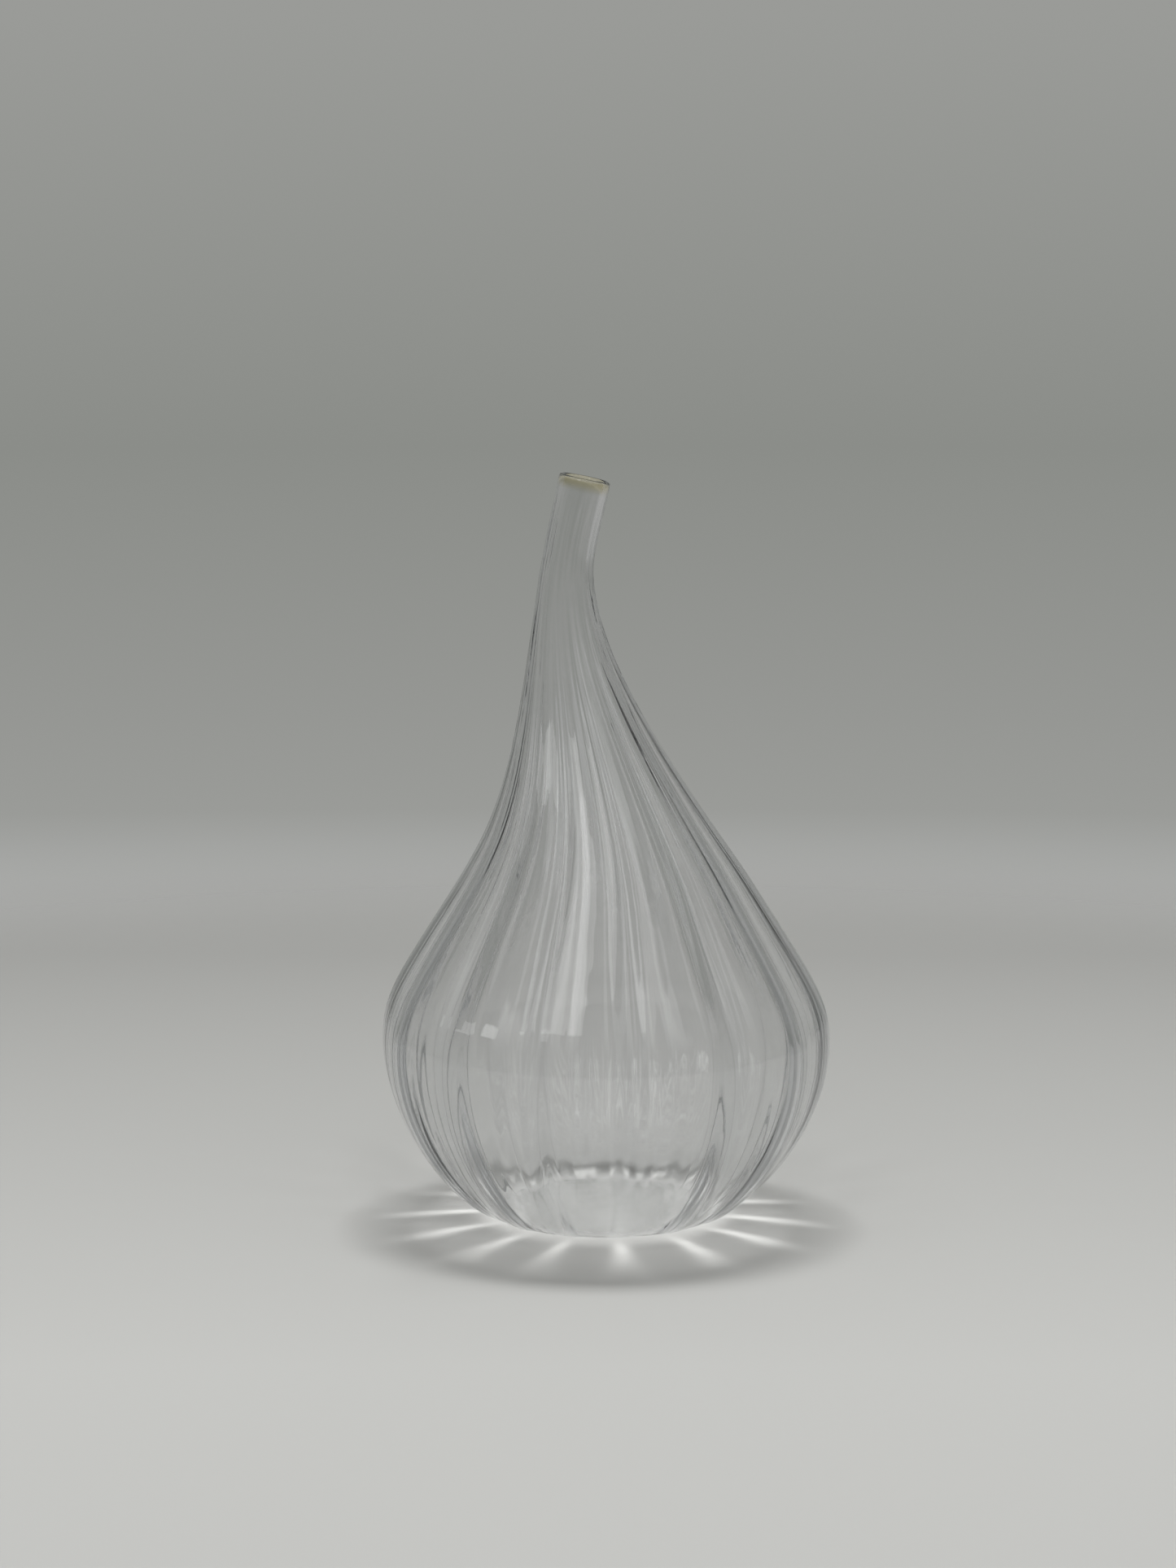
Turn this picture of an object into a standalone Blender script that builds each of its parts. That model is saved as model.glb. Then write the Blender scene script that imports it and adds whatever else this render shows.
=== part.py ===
"""Ribbed glass bud vase: a drop-shaped bulb drawn up into a thin, leaning neck.

The vase is one piece of blown glass. It is modelled the way it is made: a plain wall is turned
about the upright axis, ribs are pressed into the glass, and the neck is bent to one side.
Units are metres, +Z is up, and the origin is the centre of the foot. The neck leans along X.
"""
import math

import bpy
from mathutils import Vector
from mathutils.geometry import interpolate_bezier

# Overall sizes. Diameters are those between the ribs, and the height is that of the mouth's centre.
TOTAL_HEIGHT = 0.216
BODY_DIAMETER = 0.130
FOOT_DIAMETER = 0.065
NECK_DIAMETER = 0.0146
RIM_DIAMETER = 0.0150

# Heights of the places where the outline changes direction.
WIDEST_HEIGHT = 0.052
SHOULDER_HEIGHT = 0.110
SHOULDER_DIAMETER = 0.0715
NECK_LENGTH = 0.018

# Directions of the outline: the flank above the foot, and the cone at the shoulder.
FLANK_RISE = math.radians(20)
SHOULDER_SLOPE = math.radians(31.5)

# How long each stretch of the outline holds its direction at its two ends, in shares of its rise.
FLANK_PULLS = (0.21, 0.52)
CONE_PULLS = (0.26, 0.76)
DRAWN_PULLS = (0.25, 0.34)
NECK_PULLS = (0.33, 0.33)

# Glass thickness between the ribs, at four levels.
FOOT_WALL = 0.0035
BODY_WALL = 0.0016
SHOULDER_WALL = 0.0016
NECK_WALL = 0.0017

# Ribs. Each one stands out of the wall on the outside and thickens it on the inside.
RIB_COUNT = 14
RIB_TURN = math.radians(-5.5)
RIB_SHARPNESS = 1.5
OUTER_RIB_SHARE = 0.022
INNER_RIB_SHARE = 0.014
OUTER_RIB_LIMIT = 0.0010
INNER_RIB_LIMIT = 0.0007

# The middle line swings to -X on its way up, and the last stretch bends back towards +X.
SWING_START = 0.097
SWING_OFFSET = -0.0115
BEND_LENGTH = 0.032
MOUTH_OFFSET = -0.0061
MOUTH_LEAN = math.radians(12)

# Rows of the turned outline, and facets around each rib.
FLANK_ROWS = 7
CONE_ROWS = 6
DRAWN_ROWS = 8
NECK_ROWS = 3
LIP_ROWS = 4
FACETS_PER_RIB = 4

MERGE_DISTANCE = 0.00005
SHARP_EDGE = math.radians(50)
GLASS_COLOUR = (0.93, 0.95, 0.94, 1.0)
GLASS_IOR = 1.5


def clear_scene():
    """Start from an empty scene."""
    for leftover in list(bpy.data.objects):
        bpy.data.objects.remove(leftover, do_unlink=True)


def named_collection(name):
    """A collection of its own, linked to the scene."""
    collection = bpy.data.collections.new(name)
    bpy.context.scene.collection.children.link(collection)
    return collection


def clear_glass():
    """Colourless soda-lime glass."""
    material = bpy.data.materials.new("clear_glass")
    material.use_nodes = True
    shader = material.node_tree.nodes["Principled BSDF"]
    shader.inputs["Base Color"].default_value = GLASS_COLOUR
    shader.inputs["Metallic"].default_value = 0.0
    shader.inputs["Roughness"].default_value = 0.02
    shader.inputs["IOR"].default_value = GLASS_IOR
    shader.inputs["Transmission Weight"].default_value = 1.0
    return material


def ease(share):
    """Smooth rise from 0 to 1, level at both ends."""
    return share ** 2 * (3 - 2 * share)


def curve_rows(start, start_way, end, end_way, pulls, rows):
    """Points of one smooth stretch of the outline, without its last point."""
    rise = end.y - start.y
    start_handle = start + start_way * pulls[0] * rise
    end_handle = end - end_way * pulls[1] * rise
    return interpolate_bezier(start, start_handle, end_handle, end, rows + 1)[:-1]


def outer_outline():
    """Outer outline from the foot's edge up to the lip, as (radius, height) points."""
    foot = Vector((FOOT_DIAMETER / 2, 0.0))
    widest = Vector((BODY_DIAMETER / 2, WIDEST_HEIGHT))
    shoulder = Vector((SHOULDER_DIAMETER / 2, SHOULDER_HEIGHT))
    neck = Vector((NECK_DIAMETER / 2, TOTAL_HEIGHT - NECK_LENGTH))
    lip = Vector((RIM_DIAMETER / 2, TOTAL_HEIGHT))
    upwards = Vector((0.0, 1.0))
    flank = Vector((math.cos(FLANK_RISE), math.sin(FLANK_RISE)))
    slope = Vector((-math.sin(SHOULDER_SLOPE), math.cos(SHOULDER_SLOPE)))
    points = curve_rows(foot, flank, widest, upwards, FLANK_PULLS, FLANK_ROWS)
    points += curve_rows(widest, upwards, shoulder, slope, CONE_PULLS, CONE_ROWS)
    points += curve_rows(shoulder, slope, neck, upwards, DRAWN_PULLS, DRAWN_ROWS)
    points += curve_rows(neck, upwards, lip, upwards, NECK_PULLS, NECK_ROWS)
    points.append(lip)
    return points


def wall_at(height):
    """Glass thickness at a height, easing from each level's wall to the next."""
    levels = [0.0, WIDEST_HEIGHT, SHOULDER_HEIGHT, TOTAL_HEIGHT]
    walls = [FOOT_WALL, BODY_WALL, SHOULDER_WALL, NECK_WALL]
    for index in range(1, len(levels)):
        if height <= levels[index]:
            share = (height - levels[index - 1]) / (levels[index] - levels[index - 1])
            return walls[index - 1] + (walls[index] - walls[index - 1]) * ease(share)
    return NECK_WALL


def inner_outline(outer):
    """Inner outline, one wall inside the outer one, from the floor up to the lip."""
    points = []
    for index, point in enumerate(outer):
        before = outer[max(index - 1, 0)]
        after = outer[min(index + 1, len(outer) - 1)]
        along = (after - before).normalized()
        inwards = Vector((-along.y, along.x))
        points.append(point + inwards * wall_at(point.y))
    lowest = points[0]
    floor = Vector((lowest.x, FOOT_WALL))
    return [floor] + points[1:]


def lip_outline(inner_top, outer_top):
    """Round fire-polished lip between the inner and the outer wall."""
    centre = (inner_top + outer_top) / 2
    half_wall = (outer_top.x - inner_top.x) / 2
    points = []
    for row in range(1, LIP_ROWS):
        turn = math.pi * (1 - row / LIP_ROWS)
        points.append(centre + half_wall * Vector((math.cos(turn), math.sin(turn))))
    return points


def rib_depth(radius, share, limit):
    """Depth of the ribs on a wall of this radius."""
    return min(radius * share, limit)


def wall_profile():
    """Closed section of the wall as (point, rib depth) pairs.

    It runs from the middle of the floor up the inside, over the lip and down the outside to the
    middle of the foot. The depth is negative inside, where a rib stands towards the axis.
    """
    outer = outer_outline()
    inner = inner_outline(outer)
    profile = [(Vector((0.0, FOOT_WALL)), 0.0)]
    for point in inner:
        profile.append((point, -rib_depth(point.x, INNER_RIB_SHARE, INNER_RIB_LIMIT)))
    for point in lip_outline(inner[-1], outer[-1]):
        profile.append((point, 0.0))
    for point in reversed(outer):
        profile.append((point, rib_depth(point.x, OUTER_RIB_SHARE, OUTER_RIB_LIMIT)))
    profile.append((Vector((0.0, 0.0)), 0.0))
    return profile


def turned_wall(collection):
    """Turn the wall's section about the upright axis; each point carries its rib depth."""
    profile = wall_profile()
    mesh = bpy.data.meshes.new("wall_section")
    corners = [(point.x, 0.0, point.y) for point, depth in profile]
    edges = [(index, index + 1) for index in range(len(corners) - 1)]
    mesh.from_pydata(corners, edges, [])
    depths = mesh.attributes.new("rib_depth", "FLOAT", "POINT")
    for index, (point, depth) in enumerate(profile):
        depths.data[index].value = depth
    section = bpy.data.objects.new("wall_section", mesh)
    collection.objects.link(section)
    screw = section.modifiers.new("turn", "SCREW")
    screw.axis = "Z"
    screw.angle = math.tau
    screw.steps = RIB_COUNT * FACETS_PER_RIB
    screw.render_steps = screw.steps
    screw.use_merge_vertices = True
    screw.merge_threshold = MERGE_DISTANCE
    graph = bpy.context.evaluated_depsgraph_get()
    solid = section.evaluated_get(graph)
    turned = bpy.data.meshes.new_from_object(solid, preserve_all_data_layers=True, depsgraph=graph)
    bpy.data.objects.remove(section, do_unlink=True)
    return turned


def middle_line(height):
    """Sideways place and tilt of the vase's middle line at a height.

    The wide part is pulled sideways with its sections level. The bent end of the neck tilts them.
    """
    bend_height = TOTAL_HEIGHT - BEND_LENGTH
    if height <= SWING_START:
        return 0.0, 0.0
    if height <= bend_height:
        share = (height - SWING_START) / (bend_height - SWING_START)
        return SWING_OFFSET * ease(share), 0.0
    share = (height - bend_height) / BEND_LENGTH
    back = MOUTH_OFFSET - SWING_OFFSET
    lean = BEND_LENGTH * math.tan(MOUTH_LEAN)
    offset = SWING_OFFSET + back * ease(share) + lean * share ** 2 * (share - 1)
    slope = (6 * back * share * (1 - share) + lean * share * (3 * share - 2)) / BEND_LENGTH
    return offset, math.atan(slope)


def press_ribs_and_bend(mesh):
    """Push each point out or in by its rib, then carry it along with the bent middle line."""
    depths = mesh.attributes["rib_depth"]
    for vertex in mesh.vertices:
        radius = math.hypot(vertex.co.x, vertex.co.y)
        angle = math.atan2(vertex.co.y, vertex.co.x)
        wave = (1 + math.cos(RIB_COUNT * (angle - RIB_TURN))) / 2
        radius += depths.data[vertex.index].value * wave ** RIB_SHARPNESS
        offset, tilt = middle_line(vertex.co.z)
        across = radius * math.cos(angle)
        vertex.co.y = radius * math.sin(angle)
        vertex.co.x = offset + across * math.cos(tilt)
        vertex.co.z -= across * math.sin(tilt)
    mesh.attributes.remove(depths)


def glass_vase(collection):
    """The vase: turned, ribbed, bent, closed and shaded smooth."""
    mesh = turned_wall(collection)
    press_ribs_and_bend(mesh)
    mesh.name = "glass_vase"
    mesh.materials.append(clear_glass())
    mesh.shade_smooth()
    mesh.set_sharp_from_angle(angle=SHARP_EDGE)
    vase = bpy.data.objects.new("glass_vase", mesh)
    collection.objects.link(vase)
    return vase


clear_scene()
glass_vase(named_collection("glass_bud_vase"))
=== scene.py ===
import math

import bpy
import numpy as np
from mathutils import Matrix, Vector


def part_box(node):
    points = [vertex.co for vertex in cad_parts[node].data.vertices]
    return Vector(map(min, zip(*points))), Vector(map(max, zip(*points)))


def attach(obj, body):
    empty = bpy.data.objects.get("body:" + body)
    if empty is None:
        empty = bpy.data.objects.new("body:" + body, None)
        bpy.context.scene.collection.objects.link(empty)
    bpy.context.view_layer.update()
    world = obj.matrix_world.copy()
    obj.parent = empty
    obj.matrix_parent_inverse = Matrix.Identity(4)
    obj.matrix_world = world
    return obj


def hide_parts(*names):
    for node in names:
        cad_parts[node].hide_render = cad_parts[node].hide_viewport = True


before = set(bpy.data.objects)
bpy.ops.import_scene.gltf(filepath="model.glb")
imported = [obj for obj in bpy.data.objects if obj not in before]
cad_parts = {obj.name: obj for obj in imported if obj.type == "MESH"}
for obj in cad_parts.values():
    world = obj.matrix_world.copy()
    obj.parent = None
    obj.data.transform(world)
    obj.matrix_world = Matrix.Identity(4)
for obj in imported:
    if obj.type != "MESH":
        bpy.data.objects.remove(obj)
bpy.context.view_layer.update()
scene = bpy.context.scene
scene.view_settings.view_transform = "Standard"

# --- Camera -------------------------------------------------------------------------------------
# A long lens a little over a metre away, held a hand above the mouth of the vase and looking
# slightly down, with the vase just right of the middle.
LENS_FIELD = math.radians(21.27)
CAMERA_PLACE = (-0.0051, -1.2006, 0.3105)
CAMERA_DIP = math.radians(8.66)

camera_data = bpy.data.cameras.new("camera")
camera_data.sensor_fit = "VERTICAL"
camera_data.angle = LENS_FIELD
camera = bpy.data.objects.new("camera", camera_data)
camera.location = CAMERA_PLACE
camera.rotation_euler = (math.pi / 2 - CAMERA_DIP, 0.0, 0.0)
scene.collection.objects.link(camera)
scene.camera = camera


# --- The vase: one piece of blown glass ---------------------------------------------------------
# Clear soda-lime glass, blown into a ribbed mould, opened out to a drop, drawn up to a thin neck
# and bent while soft, with a fire-polished lip. The sizes are the CAD solid's, save for a rounder
# foot, a thinner floor, and ribs that are narrower and uneven.
low_corner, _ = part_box("glass_vase")

# The outline between the ribs, and where it changes direction.
GLASS_HEIGHT = 0.216
GLASS_BODY_RADIUS = 0.065
GLASS_FOOT_RADIUS = 0.0295
GLASS_NECK_RADIUS = 0.0073
GLASS_LIP_RADIUS = 0.0075
WIDEST_HEIGHT = 0.052
SHOULDER_HEIGHT = 0.110
SHOULDER_RADIUS = 0.03575
SHOULDER_SLOPE = math.radians(31.5)
NECK_LENGTH = 0.018

# How long each stretch of the outline holds its direction at its two ends, in shares of its rise.
FLANK_PULLS = (0.22, 0.51)
CONE_PULLS = (0.26, 0.76)
DRAWN_PULLS = (0.25, 0.34)
NECK_PULLS = (1 / 3, 1 / 3)

# Glass thickness between the ribs, as (height, wall) pairs. The first one is the floor's too.
GLASS_WALLS = [(0.0, 0.0018), (WIDEST_HEIGHT, 0.0016), (SHOULDER_HEIGHT, 0.0016),
               (GLASS_HEIGHT, 0.0017)]
FLOOR_CLEARANCE = 0.0004

# Ribs, each depth as a share of the radius with an upper limit. They get shallower on the neck and
# run out just under the lip. The fades are a start and a span.
RIB_COUNT = 14
RIB_TURN = math.radians(-5.5)
RIB_SHARPNESS = 3.5
OUTER_RIB = (0.024, 0.0008)
INNER_RIB = (0.018, 0.0008)
NECK_RIB_SHARE = 0.6
NECK_RIB_FADE = (0.008, 0.010)
LIP_RIB_FADE = (0.002, 0.010)

# Slow waves around the vase, as counts and a seed: how the ribs wander, how their depth differs,
# and the fine striae between them.
WAVE_DRIFT_HEIGHT = 0.05
RIB_WANDER = math.radians(1.1)
WANDER_WAVES = ((1, 2, 3, 5), 3)
RIB_UNEVENNESS = 0.22
UNEVEN_WAVES = ((2, 3, 4), 8)
STRIA_SHARE = 0.0007
STRIA_WAVES = ((23, 31, 41, 53, 67, 79), 5)
STRIA_FADE = (0.009, 0.020)
INNER_STRIA_SHIFT = 3

# The middle line swings to -X on its way up, and the last stretch bends back towards +X.
SWING_START = 0.097
SWING_OFFSET = -0.0115
BEND_LENGTH = 0.032
MOUTH_OFFSET = -0.0061
MOUTH_LEAN = math.radians(12)

# Fineness of the mesh.
ROWS_PER_STRETCH = (30, 26, 32, 8)
LIP_ROWS = 10
FLOOR_RINGS = 14
FOOT_RINGS = 12
COLUMNS_PER_RIB = 30


def ease(share):
    """Smooth rise from 0 to 1, level at both ends."""
    return share ** 2 * (3 - 2 * share)


def fade_in(values, start, span):
    """Even rise from 0 to 1 over a span of the values."""
    return np.clip((values - start) / span, 0.0, 1.0)


def curve_rows(start, start_way, end, end_way, pulls, rows):
    """Points of one smooth stretch of the outline, without its last point."""
    rise = end[1] - start[1]
    t = np.linspace(0.0, 1.0, rows + 1)[:-1, None]
    corners = (start, start + start_way * pulls[0] * rise, end - end_way * pulls[1] * rise, end)
    weights = ((1 - t) ** 3, 3 * (1 - t) ** 2 * t, 3 * (1 - t) * t ** 2, t ** 3)
    return sum(weight * corner for weight, corner in zip(weights, corners))


def outer_outline():
    """Outer outline from the foot's edge up to the lip, as (radius, height) rows."""
    foot = np.array((GLASS_FOOT_RADIUS, 0.0))
    widest = np.array((GLASS_BODY_RADIUS, WIDEST_HEIGHT))
    shoulder = np.array((SHOULDER_RADIUS, SHOULDER_HEIGHT))
    neck = np.array((GLASS_NECK_RADIUS, GLASS_HEIGHT - NECK_LENGTH))
    lip = np.array((GLASS_LIP_RADIUS, GLASS_HEIGHT))
    outwards = np.array((1.0, 0.0))
    up = np.array((0.0, 1.0))
    slope = np.array((-math.sin(SHOULDER_SLOPE), math.cos(SHOULDER_SLOPE)))
    flank_rows, cone_rows, drawn_rows, neck_rows = ROWS_PER_STRETCH
    return np.vstack([
        curve_rows(foot, outwards, widest, up, FLANK_PULLS, flank_rows),
        curve_rows(widest, up, shoulder, slope, CONE_PULLS, cone_rows),
        curve_rows(shoulder, slope, neck, up, DRAWN_PULLS, drawn_rows),
        curve_rows(neck, up, lip, up, NECK_PULLS, neck_rows),
        lip[None],
    ])


def wall_at(heights):
    """Glass thickness between the ribs, easing from each level's wall to the next."""
    walls = np.full_like(heights, GLASS_WALLS[-1][1])
    for (low, low_wall), (high, high_wall) in zip(GLASS_WALLS, GLASS_WALLS[1:]):
        inside = (heights >= low) & (heights <= high)
        share = ease(fade_in(heights, low, high - low))
        walls[inside] = (low_wall + (high_wall - low_wall) * share)[inside]
    return walls


def rib_depth(radii, rib):
    """Depth of the ribs on walls of these radii."""
    share, limit = rib
    return np.minimum(radii * share, limit)


def wall_section():
    """The wall's closed section: (radius, height) rows, each row's rib depth, the floor's height.

    The depth is negative inside, where a rib stands towards the axis.
    """
    outer = outer_outline()
    along = np.gradient(outer, axis=0)
    along /= np.linalg.norm(along, axis=1)[:, None]
    inwards = np.stack([-along[:, 1], along[:, 0]], axis=1)
    inner = outer + inwards * wall_at(outer[:, 1])[:, None]
    floor_height = GLASS_WALLS[0][1]
    inner = inner[inner[:, 1] > floor_height + FLOOR_CLEARANCE]
    middle = (inner[-1] + outer[-1]) / 2
    half_wall = (outer[-1, 0] - inner[-1, 0]) / 2
    turn = np.pi * (1 - np.arange(1, LIP_ROWS) / LIP_ROWS)
    lip = middle + half_wall * np.stack([np.cos(turn), np.sin(turn)], axis=1)
    floor_shares = np.linspace(0.0, 1.0, FLOOR_RINGS)[1:-1]
    floor = np.stack([inner[0, 0] * floor_shares, np.full_like(floor_shares, floor_height)], axis=1)
    foot_shares = np.linspace(0.0, 1.0, FOOT_RINGS)[1:-1]
    foot = np.stack([outer[0, 0] * foot_shares, np.zeros_like(foot_shares)], axis=1)
    rows = np.vstack([floor, inner, lip, outer[::-1], foot[::-1]])
    depth = np.concatenate([
        np.zeros(len(floor)),
        -rib_depth(inner[:, 0], INNER_RIB),
        np.zeros(len(lip)),
        rib_depth(outer[::-1, 0], OUTER_RIB),
        rib_depth(outer[0, 0], OUTER_RIB) * foot_shares[::-1],
    ])
    return rows, depth, floor_height


def middle_line(heights):
    """Sideways place and tilt of the vase's middle line."""
    bend_height = GLASS_HEIGHT - BEND_LENGTH
    swing = ease(fade_in(heights, SWING_START, bend_height - SWING_START))
    t = np.maximum((heights - bend_height) / BEND_LENGTH, 0.0)
    back = MOUTH_OFFSET - SWING_OFFSET
    lean = BEND_LENGTH * math.tan(MOUTH_LEAN)
    offset = SWING_OFFSET * swing + back * ease(t) + lean * (t ** 3 - t ** 2)
    slope = (back * (6 * t - 6 * t ** 2) + lean * (3 * t ** 2 - 2 * t)) / BEND_LENGTH
    return offset, np.arctan(slope)


def soft_waves(angle, heights, counts, seed):
    """Slow random waves around the vase, about -1 to 1, that drift a little with the height."""
    draw = np.random.default_rng(seed)
    total = np.zeros((len(heights), len(angle)))
    for count in counts:
        start = draw.uniform(0, math.tau)
        phase = start + draw.uniform(-1, 1) * heights[:, None] / WAVE_DRIFT_HEIGHT
        total += np.sin(count * angle[None, :] + phase)
    return total / math.sqrt(len(counts))


def glass_points(rows, depth):
    """Every point of the ribbed, bent wall, row by row, and where it was before the bend.

    Hand-made ribs wander a little and aren't equally deep. Fine striae, left by drawing the soft
    glass upwards, run along them on both faces.
    """
    angle = np.arange(RIB_COUNT * COLUMNS_PER_RIB) * math.tau / (RIB_COUNT * COLUMNS_PER_RIB)
    radii, heights = rows[:, :1], rows[:, 1]
    wander = RIB_WANDER * soft_waves(angle, heights, *WANDER_WAVES)
    unevenness = 1 + RIB_UNEVENNESS * soft_waves(angle, heights, *UNEVEN_WAVES)
    ribs = ((1 + np.cos(RIB_COUNT * (angle - RIB_TURN + wander))) / 2) ** RIB_SHARPNESS
    on_neck = NECK_RIB_SHARE + (1 - NECK_RIB_SHARE) * fade_in(rows[:, 0], *NECK_RIB_FADE)
    depth = depth * on_neck * fade_in(GLASS_HEIGHT - heights, *LIP_RIB_FADE)
    striae = STRIA_SHARE * soft_waves(angle, heights, *STRIA_WAVES) * fade_in(radii, *STRIA_FADE)
    inner_striae = np.roll(striae, COLUMNS_PER_RIB * INNER_STRIA_SHIFT, axis=1)
    striae = np.where(depth[:, None] < 0, inner_striae, striae) * (depth[:, None] != 0)
    radius = radii + depth[:, None] * ribs * unevenness + radii * striae
    offset, tilt = middle_line(heights)
    across = radius * np.cos(angle)
    x = offset[:, None] + across * np.cos(tilt)[:, None]
    y = radius * np.sin(angle)
    z = rows[:, 1:] - across * np.sin(tilt)[:, None]
    rib_angle = angle + wander
    level = np.broadcast_to(rows[:, 1:], rib_angle.shape)
    as_blown = np.stack([GLASS_BODY_RADIUS * np.cos(rib_angle),
                         GLASS_BODY_RADIUS * np.sin(rib_angle), level], axis=2)
    return np.stack([x, y, z], axis=2), as_blown


section_rows, section_depth, inside_floor = wall_section()
points, places_as_blown = glass_points(section_rows, section_depth)
row_count, column_count = points.shape[:2]
vertices = points.reshape(-1, 3).tolist() + [[0.0, 0.0, inside_floor], [0.0, 0.0, 0.0]]
floor_middle = row_count * column_count
foot_middle = floor_middle + 1
last_row = (row_count - 1) * column_count
faces = []
for row in range(row_count - 1):
    for column in range(column_count):
        here = row * column_count + column
        beside = row * column_count + (column + 1) % column_count
        faces.append((here, here + column_count, beside + column_count, beside))
for column in range(column_count):
    after = (column + 1) % column_count
    faces.append((column, after, floor_middle))
    faces.append((last_row + after, last_row + column, foot_middle))
vase_mesh = bpy.data.meshes.new("blown_glass_vase")
vase_mesh.from_pydata(vertices, [], faces)
vase_mesh.shade_smooth()
as_blown = vase_mesh.attributes.new("place_as_blown", "FLOAT_VECTOR", "POINT")
flat_places = np.vstack([places_as_blown.reshape(-1, 3), np.zeros((2, 3))])
as_blown.data.foreach_set("vector", flat_places.astype(np.float32).ravel())
vase = bpy.data.objects.new("blown_glass_vase", vase_mesh)
scene.collection.objects.link(vase)


def hex_colour(code):
    """An sRGB hex colour as linear red, green, blue and a full alpha."""
    channels = [int(code[place:place + 2], 16) / 255 for place in (1, 3, 5)]
    linear = [c / 12.92 if c <= 0.04045 else ((c + 0.055) / 1.055) ** 2.4 for c in channels]
    return (*linear, 1.0)


def add_node(tree, kind, settings=None, inputs=None, links=None):
    """Add a node, set its properties and sockets, and link its inputs from (node, socket) pairs.

    Sockets go by name, or by number where a node has several of one name.
    """
    node = tree.nodes.new(kind)
    for name, value in (settings or {}).items():
        setattr(node, name, value)
    for name, value in (inputs or {}).items():
        node.inputs[name].default_value = value
    for name, (source, socket) in (links or {}).items():
        tree.links.new(source.outputs[socket], node.inputs[name])
    return node


# Colourless soda-lime glass with a fire-polished skin: mirror smooth, with a high clear shine.
# Blowing leaves soft waves about a centimetre wide in it, so what it mirrors comes out ragged.
GLASS_IOR = 1.5
WAVE_SIZE = 0.010
WAVE_DEPTH = 0.00006
TINT_DENSITY = 47.0
STRAW_START = 0.0035
STRAW_FULL = 0.0005

glass = bpy.data.materials.new("blown_soda_lime_glass")
glass.use_nodes = True
tree = glass.node_tree
glass_shader = tree.nodes["Principled BSDF"]
glass_shader.inputs["Roughness"].default_value = 0.0
glass_shader.inputs["IOR"].default_value = GLASS_IOR
glass_shader.inputs["Transmission Weight"].default_value = 1.0
place = add_node(tree, "ShaderNodeTexCoord")
waves = add_node(tree, "ShaderNodeTexNoise", inputs={"Scale": 1 / WAVE_SIZE, "Detail": 1.0},
                 links={"Vector": (place, "Object")})
wavy = add_node(tree, "ShaderNodeBump", inputs={"Distance": WAVE_DEPTH},
                links={"Height": (waves, "Fac")})
tree.links.new(wavy.outputs["Normal"], glass_shader.inputs["Normal"])
# The fire-polished lip has taken a faint straw tint from the flame.
blown = add_node(tree, "ShaderNodeAttribute", {"attribute_name": "place_as_blown"})
blown_parts = add_node(tree, "ShaderNodeSeparateXYZ", links={"Vector": (blown, "Vector")})
lip_share = add_node(tree, "ShaderNodeMapRange", {"interpolation_type": "SMOOTHSTEP"},
                     {"From Min": GLASS_HEIGHT - STRAW_START,
                      "From Max": GLASS_HEIGHT - STRAW_FULL},
                     {"Value": (blown_parts, "Z")})
straw = add_node(tree, "ShaderNodeMix", {"data_type": "RGBA"},
                 {"A": hex_colour("#FBFBFB"), "B": hex_colour("#E9E4CC")},
                 {"Factor": (lip_share, "Result")})
tree.links.new(straw.outputs["Result"], glass_shader.inputs["Base Color"])
# Seen edge on, the wall is centimetres deep, and there its faint grey tint shows as dark lines.
tint = add_node(tree, "ShaderNodeVolumeAbsorption",
                inputs={"Color": hex_colour("#B9BDC1"), "Density": TINT_DENSITY})
tree.links.new(tint.outputs["Volume"], tree.nodes["Material Output"].inputs["Volume"])
vase_mesh.materials.append(glass)

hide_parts("glass_vase")
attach(vase, "root")

# --- Floor --------------------------------------------------------------------------------------
# A sheet of pale matt paper under the vase, which spreads the light evenly with hardly any sheen.
# Its colour is painted darker towards the back, as shade where less light falls on it, and it fades
# out into the soft grey around it, so it has no edge.
FLOOR_RADIUS = 0.70
FLOOR_FADE_START = 0.42
FLOOR_FADE_END = 0.69
FLOOR_GAP = 0.0003
PAINTED_SHADE_START = -0.16
PAINTED_SHADE_FULL = 0.40

bpy.ops.mesh.primitive_circle_add(vertices=96, radius=FLOOR_RADIUS, fill_type="NGON",
                                  location=(0.0, 0.0, low_corner[2] - FLOOR_GAP))
floor = bpy.context.object
floor.name = "floor"
paper = bpy.data.materials.new("matt_white_paper")
paper.use_nodes = True
tree = paper.node_tree
paper_shader = tree.nodes["Principled BSDF"]
paper_shader.inputs["Roughness"].default_value = 0.75
paper_shader.inputs["Specular IOR Level"].default_value = 0.2
place = add_node(tree, "ShaderNodeTexCoord")
distance = add_node(tree, "ShaderNodeVectorMath", {"operation": "LENGTH"},
                    links={"Vector": (place, "Object")})
fade = add_node(tree, "ShaderNodeMapRange", {"interpolation_type": "SMOOTHSTEP"},
                {"From Min": FLOOR_FADE_START, "From Max": FLOOR_FADE_END,
                 "To Min": 1.0, "To Max": 0.0},
                {"Value": (distance, "Value")})
tree.links.new(fade.outputs["Result"], paper_shader.inputs["Alpha"])
floor_parts = add_node(tree, "ShaderNodeSeparateXYZ", links={"Vector": (place, "Object")})
# Painted shade: the paper's colour darkens from the front to the back, where less light falls on
# it.
back_shade_share = add_node(tree, "ShaderNodeMapRange",
                     inputs={"From Min": PAINTED_SHADE_START, "From Max": PAINTED_SHADE_FULL},
                     links={"Value": (floor_parts, "Y")})
painted_back_shade = add_node(tree, "ShaderNodeMix", {"data_type": "RGBA"},
                   {"A": hex_colour("#B7B7B5"), "B": hex_colour("#939391")},
                   {"Factor": (back_shade_share, "Result")})
tree.links.new(painted_back_shade.outputs["Result"], paper_shader.inputs["Base Color"])
floor.data.materials.append(paper)

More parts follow.
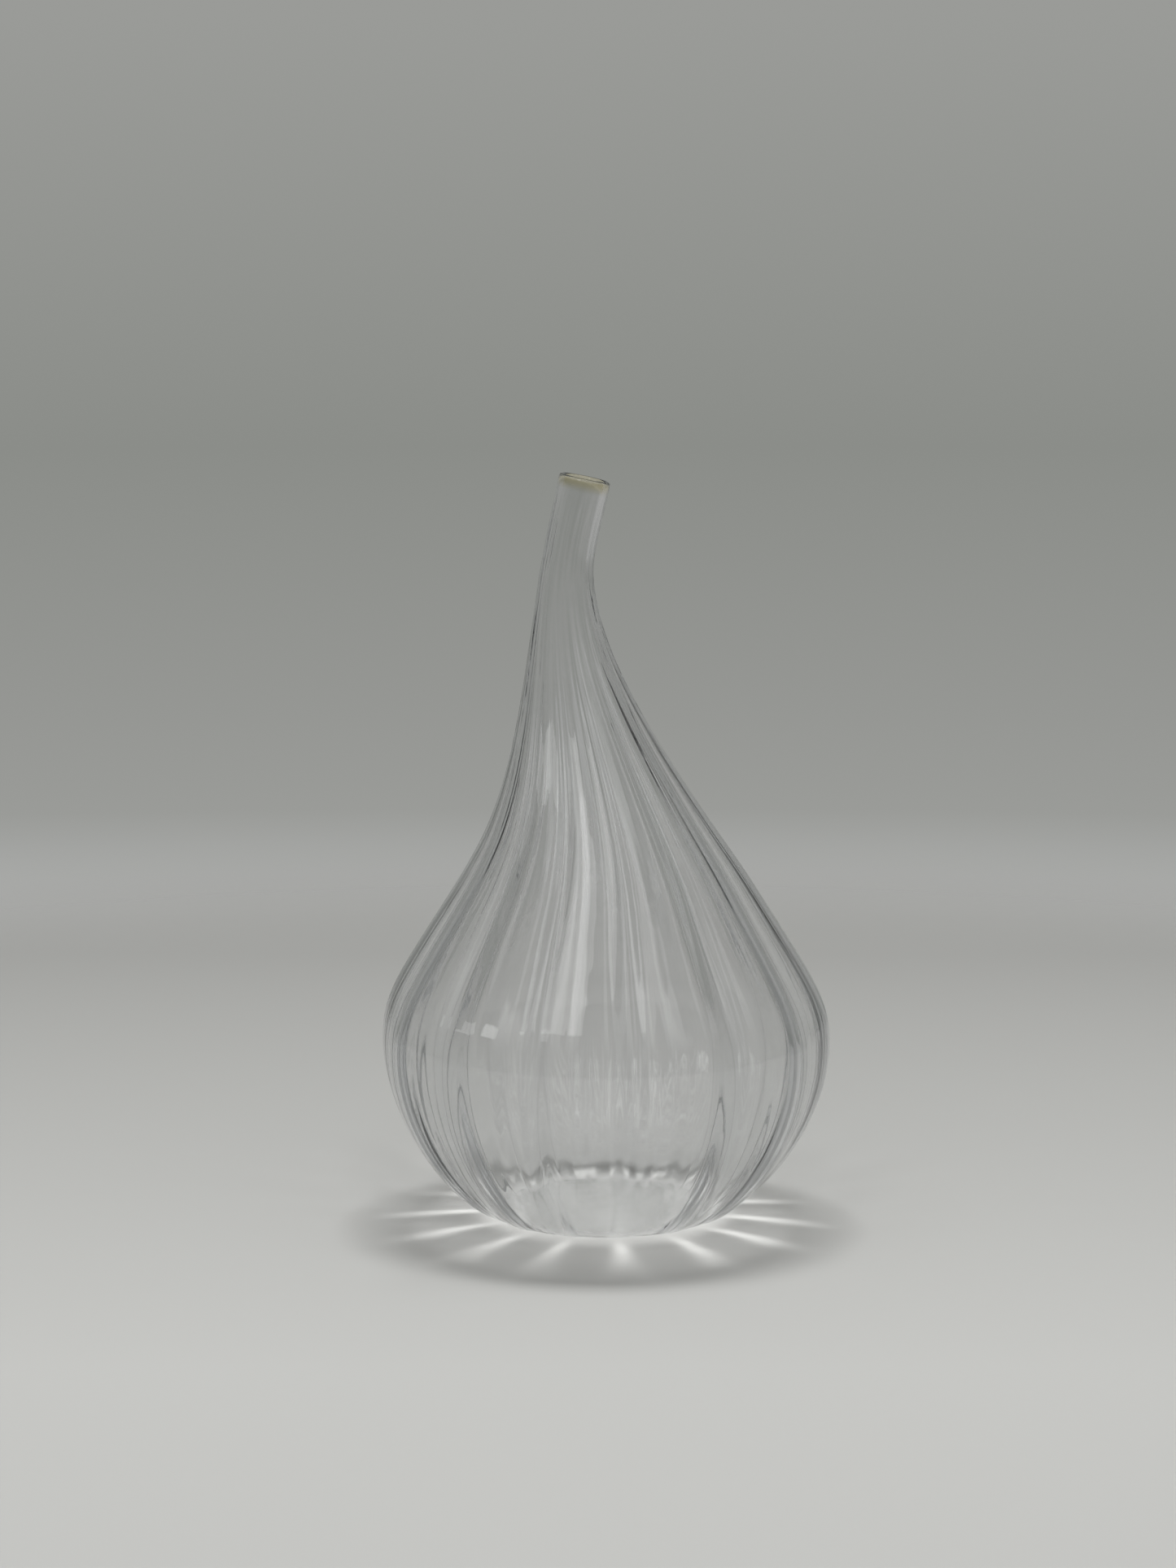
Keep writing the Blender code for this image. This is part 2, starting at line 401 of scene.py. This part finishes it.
# --- Light that the glass throws on the floor ---------------------------------------------------
# The ribs gather light into bright rays with dark wedges between them, and a wall that light only
# grazes turns it aside. A copy of the glass, seen only by light on its way to the floor, does that
# with little noise.

# Light gained at a rib's crest and lost between ribs, as shares of what falls on the glass, how
# narrow the crests are, and the foot's even light, which gives way to the ribs' light above it.
CREST_LIGHT = 0.60
VALLEY_LIGHT = -0.19
CREST_SHARPNESS = 6.0
FOOT_LIGHT = 1.22
FOOT_FADE = (0.001, 0.006)

# The wall's slant, from where it starts to turn light aside to where it turns nearly all of it
# aside, and the share that still gets through there.
SLANT_FADE = (0.42, 0.90)
GRAZING_LIGHT = 0.02

light_shaper = bpy.data.objects.new("light_through_glass", vase_mesh)
scene.collection.objects.link(light_shaper)
light_shaper.visible_camera = False
light_shaper.visible_glossy = False
light_shaper.visible_transmission = False
vase.visible_shadow = False
vase.visible_diffuse = False

thrown_light = bpy.data.materials.new("light_thrown_by_ribs")
thrown_light.use_nodes = True
tree = thrown_light.node_tree
tree.nodes.remove(tree.nodes["Principled BSDF"])
blown = add_node(tree, "ShaderNodeAttribute", {"attribute_name": "place_as_blown"})
blown_parts = add_node(tree, "ShaderNodeSeparateXYZ", links={"Vector": (blown, "Vector")})
around = add_node(tree, "ShaderNodeMath", {"operation": "ARCTAN2"},
                  links={0: (blown_parts, "Y"), 1: (blown_parts, "X")})
rib_turns = add_node(tree, "ShaderNodeMath", {"operation": "MULTIPLY_ADD"},
                     {1: RIB_COUNT, 2: -RIB_COUNT * RIB_TURN}, {0: (around, 0)})
rib_wave = add_node(tree, "ShaderNodeMath", {"operation": "COSINE"}, links={0: (rib_turns, 0)})
crest = add_node(tree, "ShaderNodeMapRange", inputs={"From Min": -1.0},
                 links={"Value": (rib_wave, 0)})
narrow_crest = add_node(tree, "ShaderNodeMath", {"operation": "POWER"}, {1: CREST_SHARPNESS},
                        {0: (crest, "Result")})
gathered = add_node(tree, "ShaderNodeMapRange",
                    inputs={"To Min": VALLEY_LIGHT, "To Max": CREST_LIGHT},
                    links={"Value": (narrow_crest, 0)})
foot_light = add_node(tree, "ShaderNodeMapRange", {"interpolation_type": "SMOOTHSTEP"},
                      {"From Min": FOOT_FADE[0], "From Max": FOOT_FADE[1],
                       "To Min": FOOT_LIGHT, "To Max": 1.0},
                      {"Value": (blown_parts, "Z")})
above_foot = add_node(tree, "ShaderNodeMapRange", {"interpolation_type": "SMOOTHSTEP"},
                      {"From Min": FOOT_FADE[0], "From Max": FOOT_FADE[1]},
                      {"Value": (blown_parts, "Z")})
ribbed = add_node(tree, "ShaderNodeMath", {"operation": "MULTIPLY_ADD"},
                  links={0: (gathered, "Result"), 1: (above_foot, "Result"),
                         2: (foot_light, "Result")})
slant = add_node(tree, "ShaderNodeLayerWeight", inputs={"Blend": 0.5})
passed = add_node(tree, "ShaderNodeMapRange", {"interpolation_type": "SMOOTHERSTEP"},
                  {"From Min": SLANT_FADE[0], "From Max": SLANT_FADE[1],
                   "To Min": 1.0, "To Max": GRAZING_LIGHT},
                  {"Value": (slant, "Facing")})
let_through = add_node(tree, "ShaderNodeMath", {"operation": "MULTIPLY"},
                       links={0: (ribbed, 0), 1: (passed, "Result")})
onwards = add_node(tree, "ShaderNodeBsdfTransparent", links={"Color": (let_through, 0)})
tree.links.new(onwards.outputs["BSDF"], tree.nodes["Material Output"].inputs["Surface"])
light_shaper.material_slots[0].link = "OBJECT"
light_shaper.material_slots[0].material = thrown_light

# --- Light --------------------------------------------------------------------------------------
# A soft ceiling light a little behind the vase throws the rays and the dark crescent in front of
# it, and a weaker one in front throws a crescent behind. Two windows on the left, and light tubes
# high in front, give the pale glints. A soft grey room is all round.
LIGHT_DISTANCE = 1.9
LIGHT_AIM_HEIGHT = 0.06


def soft_panel(name, width, height, turn, rise, radiance, mirrored):
    """A soft rectangular light that faces the vase, at a turn seen from above and a rise.

    One that isn't mirrored lights the floor but doesn't show in the glass.
    """
    data = bpy.data.lights.new(name, "AREA")
    data.shape = "RECTANGLE"
    data.size = width
    data.size_y = height
    data.energy = radiance * math.pi * width * height
    panel = bpy.data.objects.new(name, data)
    scene.collection.objects.link(panel)
    turn, rise = math.radians(turn), math.radians(rise)
    away = Vector((math.sin(turn) * math.cos(rise), -math.cos(turn) * math.cos(rise),
                   math.sin(rise)))
    panel.location = Vector((0.0, 0.0, LIGHT_AIM_HEIGHT)) + away * LIGHT_DISTANCE
    panel.rotation_euler = away.to_track_quat("Z", "Y").to_euler()
    panel.visible_camera = False
    panel.visible_glossy = mirrored
    panel.visible_transmission = mirrored


soft_panel("back_ceiling_light", 0.72, 0.36, 176.0, 73.0, 31.0, False)
soft_panel("front_ceiling_light", 0.50, 0.50, 5.0, 42.0, 6.5, False)
soft_panel("front_window", 0.34, 1.20, -21.0, 50.0, 1.5, True)
soft_panel("side_window", 0.35, 0.25, -66.0, 24.0, 1.8, True)

# The room's grey by height, as (sine of the rise, colour) pairs from the bottom up.
ROOM_GREYS = [
    (-0.60, "#B0B0AE"), (-0.24, "#A9A9A7"), (-0.192, "#A6A7A5"), (-0.178, "#ADAEAC"),
    (-0.168, "#A6A7A5"), (-0.156, "#9A9B98"), (-0.13, "#959693"), (-0.07, "#8B8D89"),
    (0.03, "#9A9B98"), (0.5, "#8A8B88"), (1.0, "#9A9B98"),
]

# Upright light tubes high in front of the vase. They are the crests of a wave around the room, with
# a share of their light between them, and fade in upwards and towards the front.
TUBE_TURNS = 11.0
TUBE_EDGES = (0.2, 0.7)
BETWEEN_TUBES = 0.12
TUBE_RISE = (0.15, 0.75)
TUBE_FRONT = (0.25, -0.35)
TUBE_RADIANCE = 1.6

room = bpy.data.worlds.new("grey_room")
room.use_nodes = True
scene.world = room
tree = room.node_tree
direction = add_node(tree, "ShaderNodeTexCoord")
parts = add_node(tree, "ShaderNodeSeparateXYZ", links={"Vector": (direction, "Generated")})
height = add_node(tree, "ShaderNodeMapRange", inputs={"From Min": -1.0, "From Max": 1.0},
                  links={"Value": (parts, "Z")})
ramp = add_node(tree, "ShaderNodeValToRGB", links={"Fac": (height, "Result")})
elements = ramp.color_ramp.elements
for sine, _ in ROOM_GREYS[1:-1]:
    elements.new((sine + 1) / 2)
for element, (sine, code) in zip(elements, ROOM_GREYS):
    element.position = (sine + 1) / 2
    element.color = hex_colour(code)
upper = add_node(tree, "ShaderNodeMapRange", {"interpolation_type": "SMOOTHSTEP"},
                 {"From Min": TUBE_RISE[0], "From Max": TUBE_RISE[1]}, {"Value": (parts, "Z")})
front = add_node(tree, "ShaderNodeMapRange", {"interpolation_type": "SMOOTHSTEP"},
                 {"From Min": TUBE_FRONT[0], "From Max": TUBE_FRONT[1]}, {"Value": (parts, "Y")})
compass = add_node(tree, "ShaderNodeMath", {"operation": "ARCTAN2"},
                   links={0: (parts, "X"), 1: (parts, "Y")})
tube_turns = add_node(tree, "ShaderNodeMath", {"operation": "MULTIPLY"}, {1: TUBE_TURNS},
                      {0: (compass, 0)})
tube_wave = add_node(tree, "ShaderNodeMath", {"operation": "SINE"}, links={0: (tube_turns, 0)})
tubes = add_node(tree, "ShaderNodeMapRange", {"interpolation_type": "SMOOTHSTEP"},
                 {"From Min": TUBE_EDGES[0], "From Max": TUBE_EDGES[1], "To Min": BETWEEN_TUBES},
                 {"Value": (tube_wave, 0)})
lit_front = add_node(tree, "ShaderNodeMath", {"operation": "MULTIPLY"},
                     links={0: (tubes, "Result"), 1: (front, "Result")})
ceiling = add_node(tree, "ShaderNodeMath", {"operation": "MULTIPLY"},
                   links={0: (upper, "Result"), 1: (lit_front, 0)})
glow = add_node(tree, "ShaderNodeMix", {"data_type": "RGBA"},
                {"B": (TUBE_RADIANCE, TUBE_RADIANCE, TUBE_RADIANCE, 1.0)},
                {"Factor": (ceiling, 0), "A": (ramp, "Color")})
tree.links.new(glow.outputs["Result"], tree.nodes["Background"].inputs["Color"])

# Clear glass needs long light paths, so that light gets through all four of its surfaces twice.
scene.cycles.max_bounces = 32
scene.cycles.transmission_bounces = 28
scene.cycles.glossy_bounces = 24
scene.cycles.diffuse_bounces = 4
scene.cycles.transparent_max_bounces = 12
